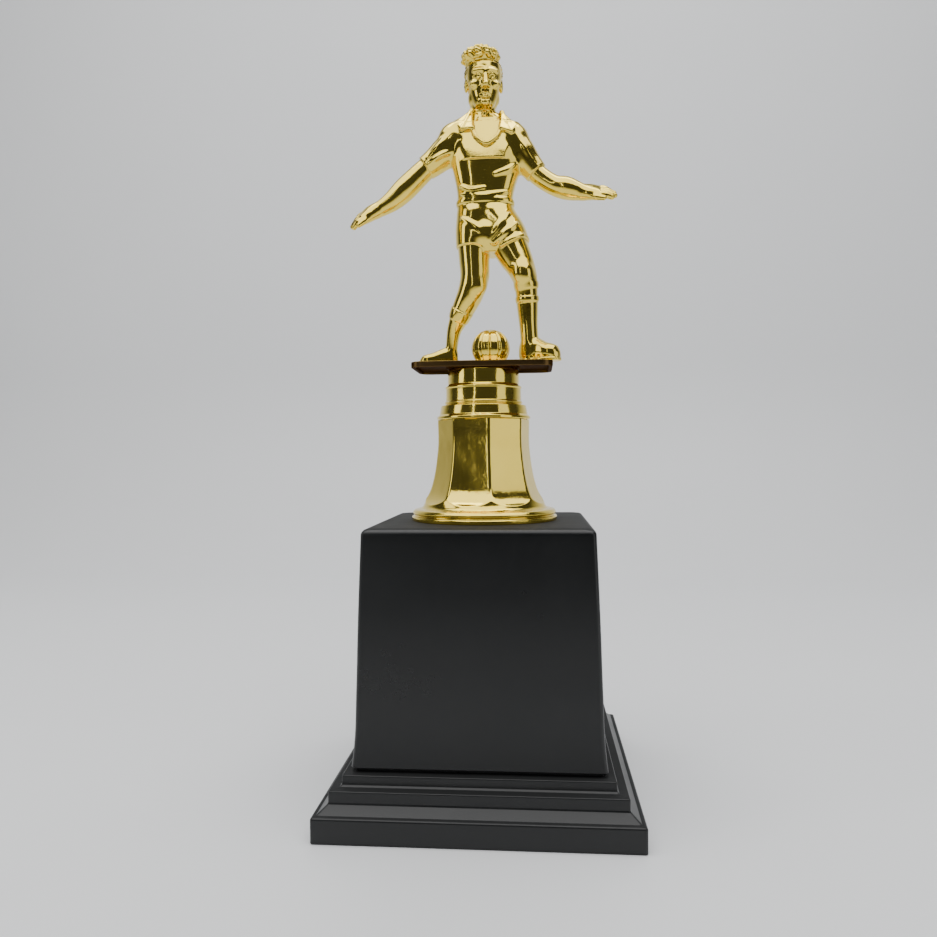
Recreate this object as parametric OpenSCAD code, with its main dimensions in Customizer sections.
// Figure trophy: a footballer on a bell-shaped riser and a moulded plinth.
// Origin: centre of the underside. +X right, +Y back, +Z up. The figure faces -Y.

/* [Plinth] */
// Width and depth of the lowest slab
slab_w = 97.5; // [80:1:140]
// Height of the lowest slab
slab_h = 7.7; // [5:0.1:14]
// Width of the lower moulding step
step_low_w = 88.7; // [70:0.2:130]
// Width of the upper moulding step
step_up_w = 81.8; // [64:0.2:120]
// Width of the column where it meets the foot
column_bottom_w = 77.6; // [60:0.2:110]
// Width of the column just under its rounded top edge
column_top_w = 71.8; // [56:0.2:104]
// Height of the column's flat top above the table
plinth_h = 91; // [70:0.5:140]
// Wall thickness of the plinth mouldings
plinth_wall = 2; // [1.5:0.1:3]

/* [Riser] */
// Diameter of the round flange that stands on the plinth
flange_d = 50; // [40:0.5:70]
// Width across the flats of the bell's straight upper part
bell_w = 29.6; // [24:0.2:44]
// Height of the bell, flange included
bell_h = 34.4; // [26:0.2:50]
// Height of the banded collar on top of the bell
collar_h = 17.2; // [12:0.2:26]
// Diameter of the collar's top band
collar_d = 24.6; // [18:0.2:34]
// Turn of the bell's eight panels about the rod, an edge facing the front at 0
panel_turn = 10; // [0:1:45]

/* [Figure] */
// Length of the ground plate under the figure
plate_l = 47.5; // [40:0.5:70]
// Depth of the ground plate
plate_w = 25.6; // [22:0.2:36]
// Thickness of the ground plate
plate_t = 2; // [1.6:0.1:3]
// Diameter of the football
ball_d = 13; // [9:0.5:18]
// Scale of the footballer against the modelled height of 109 mm
figure_scale = 1; // [0.8:0.01:1.2]

/* [Fasteners] */
// Nominal diameter of the threaded rod
rod_d = 6; // [5:1:8]
// Radial clearance of the rod in its guide holes
rod_play = 0.08; // [0.03:0.01:0.1]
// Width across flats of both nuts
nut_af = 10; // [8:0.5:13]
// Thickness of the nuts
nut_t = 5; // [4:0.1:6.5]
// Diameter of the large washer
washer_d = 18; // [12:0.5:24]
// Thickness of the large washer
washer_t = 1.6; // [1:0.1:2]

/* [Hidden] */
black = [0.05, 0.05, 0.055];
gold = [0.86, 0.67, 0.2];
steel = [0.72, 0.73, 0.75];
eps = 0.01;
foot_h = 17.4;
bell_base_z = plinth_h;
collar_z = bell_base_z + bell_h;
plate_z = collar_z + collar_h;
plate_top = plate_z + plate_t;
bore_r = rod_d / 2 + rod_play;
web_z = 9;
web_t = 2.4;
washer_z = web_z - washer_t;
spring_t = 1.5;
spring_z = washer_z - spring_t;
nut_z = spring_z - nut_t;
rod_z = 0.5;
boss_r = 7;
boss_h = 7.4;
captive_z = plate_z - nut_t - 0.6;
rod_top = plate_z - 0.4;
ball_at = [2.9, -5, plate_top + ball_d / 2 - 1.8];
hex_r = nut_af / 2 / cos(30);

// ---------- shared shapes ----------

// a square block of width w with rounded upright edges
module soft_square(w, h, r) {
    linear_extrude(h) soft_outline(w, r);
}

// a square outline with round corners, built from exact circles and squares
module soft_outline(w, r) {
    square([w - 2 * r, w], center = true);
    square([w, w - 2 * r], center = true);
    for (x = [-1, 1], y = [-1, 1])
        translate([x * (w / 2 - r), y * (w / 2 - r)]) circle(r, $fn = 48);
}

// a cross of four ribs of thickness t from the centre out to half width h_w
module cross_ribs(h_w, t, z0, z1) {
    for (a = [0, 90])
        rotate(a) translate([-h_w, -t / 2, z0]) cube([2 * h_w, t, z1 - z0]);
}

// a plain round hole on the axis
module axis_hole(r, z0, z1) {
    translate([0, 0, z0]) cylinder(h = z1 - z0, r = r, $fn = 64);
}

// a closed skin through a list of rings, each ring a list of 3D points
module skin(rings) {
    n = len(rings[0]);
    m = len(rings);
    points = concat([for (r = rings) each r], [mean(rings[0]), mean(rings[m - 1])]);
    sides = [for (i = [0:m - 2], j = [0:n - 1]) let (a = i * n + j, b = i * n + (j + 1) % n)
        each [[a, b + n, b], [a, a + n, b + n]]];
    low = [for (j = [0:n - 1]) [j, (j + 1) % n, m * n]];
    high = [for (j = [0:n - 1]) [(m - 1) * n + (j + 1) % n, (m - 1) * n + j, m * n + 1]];
    polyhedron(points, concat(sides, low, high), convexity = 4);
}

function mean(points) = [for (k = [0:2]) sum([for (p = points) p[k]]) / len(points)];
function sum(list, i = 0) = i < len(list) ? list[i] + sum(list, i + 1) : 0;

// an ellipse of points round c, square to the direction d taken in the XZ plane
function ring(c, d, side, depth, n = 20) = let (l = norm([d.x, 0, d.z]), u = [d.z, 0, -d.x] / l)
    [for (i = [0:n - 1]) c + u * side * cos(360 * i / n) - [0, 1, 0] * depth * sin(360 * i / n)];

// a limb through stations [x, y, z, half width, half depth], from its top to its bottom
module limb(stations) {
    last = len(stations) - 1;
    skin([for (i = [0:last]) let (s = stations[i], a = stations[max(i - 1, 0)], b = stations[min(i + 1,
    last)])
        ring([s.x, s.y, s.z], [a.x - b.x, 0, a.z - b.z], s[3], s[4])]);
}

// ---------- plinth ----------

// stepped outline of the foot, as [half width, height] pairs up its side
function foot_profile(inset) = [[slab_w / 2 - inset, 0], [slab_w / 2 - inset, slab_h - 1.3 - inset],
    [slab_w / 2 - 0.5 - inset, slab_h - 0.4 - inset], [slab_w / 2 - 1.5 - inset, slab_h + 0.2 - inset],
    [step_low_w / 2 + 0.1 - inset, slab_h + 2.5 - inset], [step_low_w / 2 - inset, slab_h + 2.9 - inset],
    [step_low_w / 2 - inset, slab_h + 6.2 - inset], [step_up_w / 2 + 0.6 - inset, slab_h + 6.4 - inset],
    [step_up_w / 2 - inset, slab_h + 6.8 - inset], [step_up_w / 2 - inset, foot_h - inset]];

// a solid of square cross-section whose side follows a profile
module square_turned(profile) {
    points = concat(profile, [[-profile[len(profile) - 1].x, profile[len(profile) - 1].y]],
        [for (i = [len(profile) - 2:-1:0]) [-profile[i].x, profile[i].y]]);
    intersection_for(a = [0, 90])
        rotate([90, 0, a]) translate([0, 0, -slab_w]) linear_extrude(2 * slab_w) polygon(points);
}

module plinth_foot() {
    color(black) difference() {
        square_turned(foot_profile(0));
        // hollow underside
        difference() {
            translate([0, 0, -eps]) square_turned(foot_profile(plinth_wall));
            translate([-slab_w / 2, -slab_w / 2, web_z]) cube([slab_w, slab_w, web_t]);
            difference() {
                cross_ribs(slab_w / 2, plinth_wall, 1.2, web_z + 1);
                axis_hole(washer_d / 2 + 3, 0, web_z + 2);
            }
        }
        // opening for the column's spigot, above the web
        translate([0, 0, web_z + web_t])
            soft_square(column_bottom_w - 8, foot_h, 2);
        axis_hole(bore_r, web_z - 1, web_z + web_t + 1);
    }
}

// outline of the column at a height, as a solid slice with rounded upright edges
module column_slice(z, half, r) {
    translate([0, 0, z]) linear_extrude(eps) soft_outline(2 * half, r);
}

// the column's body: a taper that flares slightly towards its bottom edge, and a rounded top
module column_body() {
    low = column_bottom_w / 2;
    high = column_top_w / 2;
    z_low = foot_h + 1.1;
    z_flare = z_low + 22;
    half_flare = high + (low - high) * 0.56;
    z_round = plinth_h - 2.7;
    hull() {
        column_slice(z_low, low, 1.6);
        column_slice(z_flare, half_flare, 1.6);
    }
    hull() {
        column_slice(z_flare, half_flare, 1.6);
        column_slice(z_round, high, 1.6);
    }
    hull() {
        column_slice(z_round, high, 1.6);
        column_slice(plinth_h - 1.1, high - 0.9, 2);
        column_slice(plinth_h - 0.3, high - 2.2, 3);
        column_slice(plinth_h - eps, high - 3.6, 4);
    }
}

module plinth_column() {
    spigot_w = column_bottom_w - 8.4;
    color(black) difference() {
        union() {
            column_body();
            // shadow groove above the foot, and the spigot that drops into it
            translate([0, 0, foot_h]) soft_square(column_bottom_w - 2.4, 1.2, 1.4);
            translate([0, 0, foot_h - 3]) soft_square(spigot_w, 3.1, 1.8);
        }
        difference() {
            hull() {
                translate([0, 0, foot_h - 3 - eps]) linear_extrude(eps) soft_outline(spigot_w - 4, 1.5);
                translate([0, 0, plinth_h - 2.6]) linear_extrude(eps) soft_outline(column_top_w - 7.2,
                1.5);
            }
            difference() {
                union() {
                    cross_ribs(slab_w / 2, plinth_wall, foot_h + 8, plinth_h);
                    axis_hole(7, foot_h + 8, plinth_h);
                }
                axis_hole(4.5, foot_h, plinth_h - 6);
            }
        }
        axis_hole(bore_r, plinth_h - 8, plinth_h + 1);
    }
}

// ---------- riser ----------

// half width of the bell's flats at a height above the plinth, as [half width, height] pairs
bell_side = [[bell_w / 2 + 8.8, 1.6], [bell_w / 2 + 8.8, 4.2], [bell_w / 2 + 7.1, 5],
    [bell_w / 2 + 5.5, 6],
    [bell_w / 2 + 4.4, 7], [bell_w / 2 + 3.4, 8.4], [bell_w / 2 + 2.5, 10.4], [bell_w / 2 + 1.6, 13.6],
    [bell_w / 2 + 0.9, 17.2], [bell_w / 2 + 0.4, 21], [bell_w / 2, 25], [bell_w / 2, bell_h]];

// round flare that the flats are cut into, as [radius, height] pairs
bell_flare = [[bell_w / 2 + 7.6, 1.6], [bell_w / 2 + 7.1, 4.2], [bell_w / 2 + 6.5, 4.7],
    [bell_w / 2 + 6.1, 5.4],
    [bell_w / 2 + 5.7, 6.4], [bell_w / 2 + 5.4, 7.4], [bell_w / 2 + 5.1, 9], [bell_w / 2 + 4.6, 14],
    [bell_w / 2 + 4.4, 25], [bell_w / 2 + 4.4, bell_h + 1]];

// a flared eight-sided solid: four crossed extrusions of one outline
module eight_sided(side) {
    points = concat(side, [for (i = [len(side) - 1:-1:0]) [-side[i].x, side[i].y]]);
    intersection_for(a = [22.5, 67.5, 112.5, 157.5])
        rotate([90, 0, a]) translate([0, 0, -flange_d]) linear_extrude(2 * flange_d) polygon(points);
}

module riser_bell() {
    flange_r = flange_d / 2;
    color(gold) translate([0, 0, bell_base_z]) difference() {
        union() {
            intersection() {
                rotate(panel_turn) eight_sided(bell_side);
                rotate_extrude($fn = 96) polygon(concat([[0, 1.6]], bell_flare, [[0, bell_h + 1]]));
            }
            rotate_extrude($fn = 96) polygon([[0, 0], [flange_r, 0], [flange_r, 1.2],
                [flange_r - 0.7, 1.7],
                [flange_r - 0.8, 2.1], [flange_r - 0.4, 2.5], [flange_r - 0.6, 3.4], [flange_r - 1.5, 4],
                [flange_r - 3.6, 4.4], [0, 4.4]]);
            // ring that locates the collar
            cylinder(h = bell_h + 1.4, r = 10.4, $fn = 96);
        }
        // hollow inside, open at the plinth
        rotate_extrude($fn = 96) polygon([[0, -eps], [flange_r - 3.4, -eps], [flange_r - 4, 1.6],
            [bell_w / 2 + 2.2, 5.6], [bell_w / 2, 10.4], [bell_w / 2 - 1.3, 18], [bell_w / 2 - 1.7, 25],
            [bell_w / 2 - 1.7, bell_h - 1.8], [0, bell_h - 1.8]]);
        axis_hole(8.8, bell_h, bell_h + 2);
        axis_hole(bore_r, bell_h - 3, bell_h + 1);
    }
}

module riser_collar() {
    r = collar_d / 2;
    top = collar_h;
    color(gold) translate([0, 0, collar_z]) rotate_extrude($fn = 96) polygon([[10.5, 0], [r + 3.8, 0],
        [r + 3.8, 0.9], [r + 2.9, 1.7], [r + 2.4, 4.7], [r + 1, 5.1], [r + 0.85, 5.35], [r + 1.15, 5.6],
        [r + 1.1, 6], [r + 0.7, 6.3], [r + 0.65, 10.5], [r + 0.9, 10.8], [r + 0.85, 11.2],
        [r + 0.3, 11.6],
        [r, 12], [r, top - 0.5], [r - 0.4, top],
        [boss_r + 0.1, top], [boss_r + 0.1, top - 2], [10.5, top - 3.2]]);
}

// ---------- figure ----------

module figure_plate() {
    color(gold) difference() {
        union() {
            translate([0, 0, plate_z]) linear_extrude(plate_t) plate_outline(0);
            translate([0, 0, plate_z - boss_h]) cylinder(h = boss_h + 1, r = boss_r, $fn = 96);
        }
        // shallow recess under each end, outside the pad that rests on the collar
        difference() {
            translate([0, 0, plate_z - eps]) linear_extrude(0.8) plate_outline(1.4);
            axis_hole(collar_d / 2, plate_z - 1, plate_z + plate_t);
        }
        translate([0, 0, captive_z]) cylinder(h = nut_t, r = hex_r, $fn = 6);
        axis_hole(bore_r, plate_z - boss_h - 1, captive_z + 1);
        axis_hole(bore_r, captive_z + nut_t - eps, rod_top + 0.3);
    }
}

module plate_outline(inset) {
    r = 4 - inset;
    square([plate_l - 8, plate_w - 2 * inset], center = true);
    square([plate_l - 2 * inset, plate_w - 8], center = true);
    for (x = [-1, 1], y = [-1, 1])
        translate([x * (plate_l / 2 - 4), y * (plate_w / 2 - 4)]) circle(r, $fn = 48);
}

module ball() {
    r = ball_d / 2;
    color(gold) translate(ball_at) difference() {
        sphere(r, $fn = 64);
        // seams
        for (a = [0:30:150])
            rotate([90, 0, a]) difference() {
                cylinder(h = 0.4, r = r + 1, center = true, $fn = 64);
                cylinder(h = 1, r = r - 0.3, center = true, $fn = 64);
            }
        translate([-r, -r, -2 * r + plate_top - ball_at.z]) cube([2 * r, 2 * r, 2 * r]);
    }
}

// one shoe, its length along the direction from heel to toe, cut flat at the plate
module shoe(heel, toe, width, height) {
    difference() {
        limb([[heel.x, heel.y, plate_top + 1.4, height * 0.36, width * 0.3],
            [heel.x + (toe.x - heel.x) * 0.08, heel.y, plate_top + 1.6, height * 0.62, width * 0.44],
            [heel.x + (toe.x - heel.x) * 0.3, heel.y + (toe.y - heel.y) * 0.3, plate_top + 1.6,
            height * 0.8, width * 0.46],
            [heel.x + (toe.x - heel.x) * 0.55, heel.y + (toe.y - heel.y) * 0.55, plate_top + 1.2,
            height * 0.66, width * 0.48],
            [heel.x + (toe.x - heel.x) * 0.8, heel.y + (toe.y - heel.y) * 0.8, plate_top + 0.9,
            height * 0.5, width * 0.5],
            [heel.x + (toe.x - heel.x) * 0.94, heel.y + (toe.y - heel.y) * 0.94, plate_top + 0.8,
            height * 0.4, width * 0.4],
            [toe.x, toe.y, plate_top + 0.8, height * 0.22, width * 0.2]]);
        translate([-60, -60, plate_top - 20]) cube([120, 120, 20]);
    }
}

// a rounded bar between two points, for fingers, hair, folds and facial features
module bar(a, b, ra, rb) {
    hull() {
        translate(a) sphere(ra, $fn = 12);
        translate(b) sphere(rb, $fn = 12);
    }
}

module head() {
    limb([[-0.1, 0.4, 250.6, 3.2, 3.8], [-0.1, 0.4, 248.6, 5.1, 6], [-0.1, 0.4, 245, 5.9, 7.1],
        [-0.1, 0.3, 241, 5.9, 7.1], [0, -0.1, 238, 5.5, 6.7], [0.2, -0.9, 235, 4.5, 5.8],
        [0.3, -2.2, 232.9, 3, 4], [0.3, -3.6, 232, 1.6, 2]]);
    // neck
    limb([[0.1, 0.8, 238, 4.2, 4.6], [0.3, 0.7, 233, 4.1, 4.4], [0.3, 0.9, 229, 4.7, 5],
        [0.3, 0.9, 226, 5.6, 5.4]]);
    // brow, nose, lips, chin and ears
    bar([-2.9, -6.1, 243.4], [2.9, -6.1, 243.4], 0.8, 0.8);
    bar([0.1, -6.9, 242.6], [0.1, -8, 239.4], 0.6, 0.95);
    bar([-1.2, -6.6, 236.9], [1.3, -6.6, 236.9], 0.55, 0.55);
    bar([-0.5, -5.4, 233.4], [0.9, -5.4, 233.4], 1.1, 1.1);
    for (s = [-1, 1])
        bar([s * 5.9, 0.5, 242.2], [s * 5.6, 0.2, 239.4], 1, 0.7);
}

// short swept hair: a cap with tufts rising from left to right
module hair() {
    limb([[-0.6, 0.6, 252.8, 2.6, 3], [-0.5, 0.7, 251.4, 4.8, 5.6], [-0.2, 0.9, 248.8, 6.2, 7.2],
        [0, 1.6, 245.6, 6.4, 6.8], [0, 3.2, 242, 5.8, 5], [0, 4.2, 239, 4.6, 3.4],
        [0, 4.4, 237.2, 3.2, 2.4]]);
    for (i = [-3:3])
        bar([i * 1.75 - 0.5, -5.9 + abs(i) * 0.55, 247.2],
            [i * 1.35 - 0.9, -3.6, 251.6 - abs(i) * 0.5], 1.1, 1.3);
    for (s = [-1, 0, 1])
        bar([s * 3 - 0.8, -2, 251.4 - abs(s) * 0.7], [s * 2.6, 3, 251.6 - abs(s) * 0.8], 1.3, 1.2);
}

module torso() {
    limb([[1, 1, 231, 5, 4.4], [1.1, 0.8, 228.8, 8.6, 5], [1.2, 0.5, 226.6, 11.6, 5.6],
        [1.3, 0.2, 223.6, 12.6, 6.2],
        [1.3, 0, 220, 12.3, 6.8], [1.4, -0.1, 216.8, 12.2, 7.2], [1.6, 0, 213, 11.9, 7],
        [1.6, 0, 209, 11.1, 6.7],
        [1.4, 0, 205.6, 10.2, 6.4], [1.2, 0, 201.4, 9.6, 6.2], [1.15, 0, 200.9, 10, 6.6],
        [1.15, 0, 198.5, 9.9, 6.6],
        [1.15, 0, 198.1, 9.7, 6.3], [1.5, 0, 196.2, 10.1, 6.8], [2.4, 0.2, 192.6, 11.1, 7.3],
        [3, 0.4, 189.2, 11.4, 7.3],
        [3.2, 0.4, 186, 9.6, 6.6], [3.2, 0.2, 184, 5.6, 5]]);
    // open collar
    for (s = [-1, 1]) {
        bar([2.1 + s * 5, 0.8, 230.6], [2.2 + s * 4.8, -5.2, 226.4], 0.9, 0.8);
        bar([2.2 + s * 4.8, -5.2, 226.4], [2.2 + s * 0.8, -7.2, 219.9], 0.8, 0.6);
    }
}

// a short sleeve and its arm, from the shoulder to the finger tips
module left_arm() {
    limb([[-8.6, 0.4, 221.4, 5.2, 5.8], [-12.7, 0.2, 217.8, 5.1, 5.7], [-16, 0, 215, 4.5, 5],
        [-19.2, -0.1, 212.7, 4.05, 4.5],
        [-19.5, -0.1, 212.4, 3.6, 3.8], [-23, -0.4, 209, 3.85, 4], [-27.2, -0.9, 204.9, 3.95, 4.1],
        [-31, -1.5, 201.3, 3.35, 3.5],
        [-34, -2, 199.2, 2.8, 3], [-36.7, -2.4, 197.7, 2.4, 2.7], [-39, -2.7, 196.4, 2.4, 3.4],
        [-41.4, -3, 195, 2.2, 3.4], [-43.6, -3.1, 193.6, 1.8, 2.6], [-45.4, -3.2, 192.4, 1, 1.4]]);
    bar([-37.6, -5.2, 196.6], [-40.4, -7, 194.6], 1.1, 0.8);
}

module right_arm() {
    limb([[10.4, 0.4, 220.8, 5.1, 5.7], [13.4, 0.2, 217, 5, 5.6], [16, 0, 213.2, 4.4, 4.9],
        [18.7, -0.1, 209.8, 3.9, 4.3],
        [18.9, -0.1, 209.5, 3.4, 3.6], [21.8, -0.3, 207, 3.35, 3.5], [25, -0.7, 205, 3.4, 3.6],
        [29, -1.3, 203.7, 3.8, 4],
        [32, -1.8, 202.6, 3.2, 3.4], [34.6, -2.2, 201.7, 2.5, 2.8], [37, -2.4, 201.6, 2.4, 3.4],
        [40, -2.5, 201.5, 2.2, 3.4], [43, -2.6, 201.2, 1.8, 2.6], [45.8, -2.7, 200.8, 1, 1.4]]);
    bar([36, -5, 201.8], [39.4, -7.2, 201.2], 1.1, 0.8);
}

module left_leg() {
    // leg of the shorts, then the leg and its sock
    limb([[-2.4, 0.3, 195, 6.2, 7], [-3, 0.1, 190, 6.2, 7.1], [-3.15, 0, 186, 5.75, 6.6]]);
    limb([[-3, 0.2, 188, 5.4, 6], [-2.8, 0, 180.5, 5.3, 6], [-2.75, -0.5, 174, 4.95, 5.6],
        [-4.3, -0.5, 168.8, 4.45, 5.1],
        [-6.6, 0.3, 164.5, 3.85, 4.4], [-7.2, 0.6, 163.4, 3.8, 4.3], [-7.4, 0.7, 163, 4.05, 4.6],
        [-8.7, 1.4, 160.3, 3.5, 4],
        [-8.9, 1.5, 159.9, 3.1, 3.6], [-10.1, 2.2, 157.2, 2.55, 2.9], [-11, 3, 153, 2.15, 2.5],
        [-11.4, 3.6, 148.6, 2.05, 2.4], [-11.4, 3.8, 146, 2.1, 2.4]]);
    shoe([-8.6, 4.2], [-22.4, 2.4], 6.2, 6.2);
}

module right_leg() {
    limb([[4.4, 0.2, 195, 6.4, 7], [8.2, -0.6, 189.2, 6.7, 7.4], [10.8, -1.6, 183.9, 6, 6.9]]);
    limb([[8.2, -0.6, 188, 5.6, 6.4], [10.8, -1.5, 182, 5.6, 6.4], [13.1, -3, 177.2, 4.85, 5.5],
        [14.6, -3.9, 173, 4.2, 4.8],
        [14.9, -3.7, 171.7, 4, 4.6], [14.95, -3.65, 171.4, 4.25, 4.9], [15.15, -3.4, 169.4, 4.1, 4.7],
        [15.2, -3.4, 169.1, 3.8, 4.3], [15.3, -3.2, 167, 3.7, 4.2], [15.3, -3.2, 166.7, 4, 4.6],
        [15.4, -3, 165, 3.95, 4.5],
        [15.4, -3, 164.7, 3.6, 4.1], [15.7, -2.7, 157.4, 3.15, 3.6], [16, -2.7, 152.4, 3.05, 3.5],
        [16.3, -2.7, 147, 3.1, 3.5]]);
    shoe([12.6, -0.6], [26, -7.6], 7.4, 8.6);
}

module footballer() {
    color(gold) translate([0, 0, plate_top]) scale(figure_scale) translate([0, 0, -plate_top]) {
        translate([0.9, 0, 0]) {
            head();
            hair();
        }
        torso();
        left_arm();
        right_arm();
        left_leg();
        right_leg();
    }
}

// ---------- fasteners ----------

// a hex nut with a plain bore, its lower face at z
module hex_nut(z) {
    translate([0, 0, z]) difference() {
        intersection() {
            cylinder(h = nut_t, r = hex_r, $fn = 6);
            // corners chamfered at both ends
            rotate_extrude($fn = 64) polygon([[0, 0], [hex_r - 0.7, 0], [hex_r, 0.5],
                [hex_r, nut_t - 0.5],
                [hex_r - 0.7, nut_t], [0, nut_t]]);
        }
        axis_hole(rod_d / 2 + 0.02, -1, nut_t + 1);
    }
}

module captive_nut() {
    color(steel) hex_nut(captive_z);
}

module clamp_nut() {
    color(steel) hex_nut(nut_z);
}

module threaded_rod() {
    color(steel) axis_hole(rod_d / 2, rod_z, rod_top);
}

module clamp_washer() {
    color(steel) difference() {
        axis_hole(washer_d / 2, washer_z, washer_z + washer_t);
        axis_hole(rod_d / 2 + 0.2, washer_z - 1, washer_z + washer_t + 1);
    }
}

module spring_washer() {
    color(steel) difference() {
        axis_hole(rod_d / 2 + 2, spring_z, spring_z + spring_t);
        axis_hole(rod_d / 2 + 0.1, spring_z - 1, spring_z + spring_t + 1);
        // the split
        rotate(20) translate([0, -0.4, spring_z - 1]) cube([rod_d, 0.8, spring_t + 2]);
    }
}

plinth_foot();
plinth_column();
riser_bell();
riser_collar();
figure_plate();
ball();
footballer();
captive_nut();
threaded_rod();
clamp_washer();
spring_washer();
clamp_nut();
